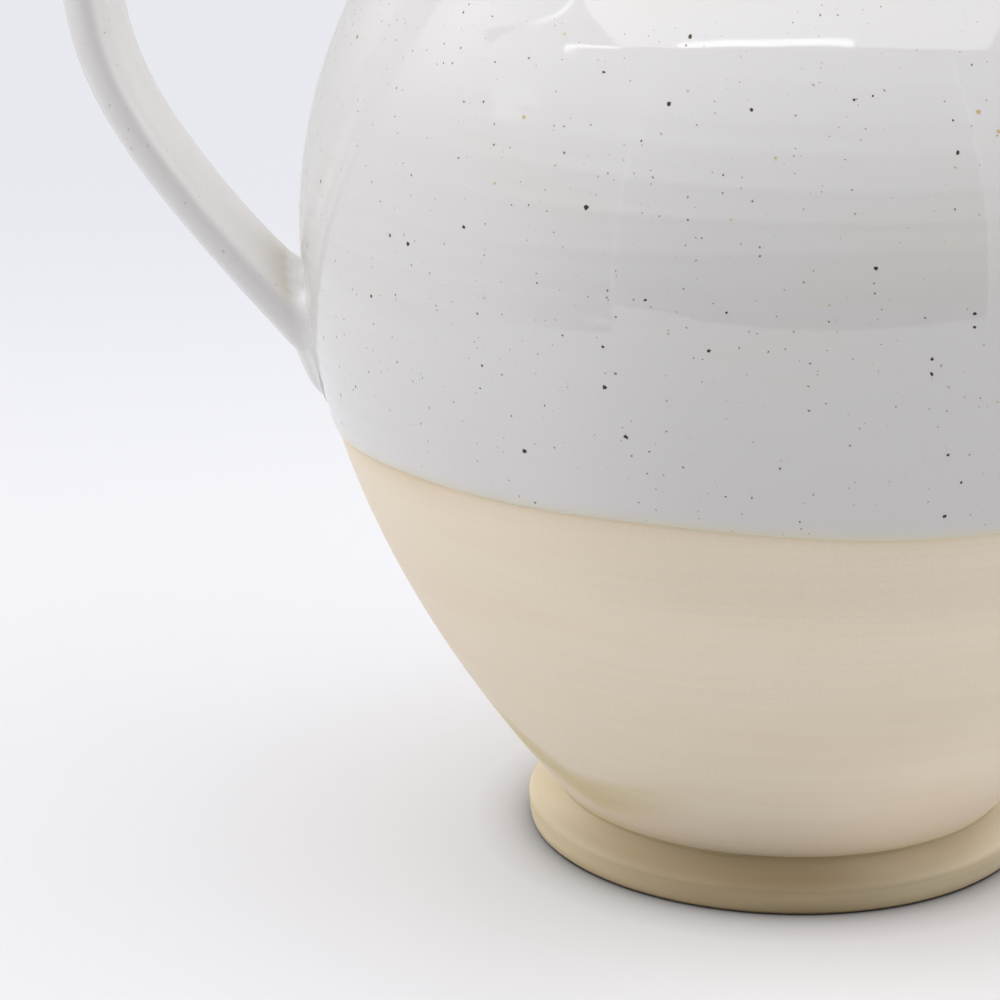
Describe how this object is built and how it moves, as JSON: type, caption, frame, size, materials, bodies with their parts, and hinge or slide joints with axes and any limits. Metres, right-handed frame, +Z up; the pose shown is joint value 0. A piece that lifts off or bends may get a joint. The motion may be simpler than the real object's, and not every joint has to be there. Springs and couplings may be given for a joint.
{
  "type": "stoneware jug",
  "caption": "Round-bellied stoneware jug with a turned foot ring, pulled strap handle, pouring lip and a dipped white speckled glaze over bare buff clay.",
  "frame": {"origin": "centre of the ring that the foot stands on, in the plane of the table", "axes": "+Z up along the turning axis, handle towards -X, pouring lip towards +X, +Y away from the picture's viewer"},
  "size_m": [0.1975, 0.1602, 0.2119],
  "materials": {
    "clay": "bare buff stoneware, smooth satin, faint turning lines",
    "slip": "fired luting slip, a little yellower than the clay, matt",
    "white_glaze": "glossy white dip glaze with brown and black iron specks"
  },
  "bodies": {
    "root": {"vessel": "clay", "foot_ring": "clay", "foot_slip": "slip", "handle": "clay", "lower_handle_slip": "slip", "upper_handle_slip": "slip", "outer_glaze": "white_glaze", "liner_glaze": "white_glaze", "handle_glaze": "white_glaze"}
  },
  "joints": []
}
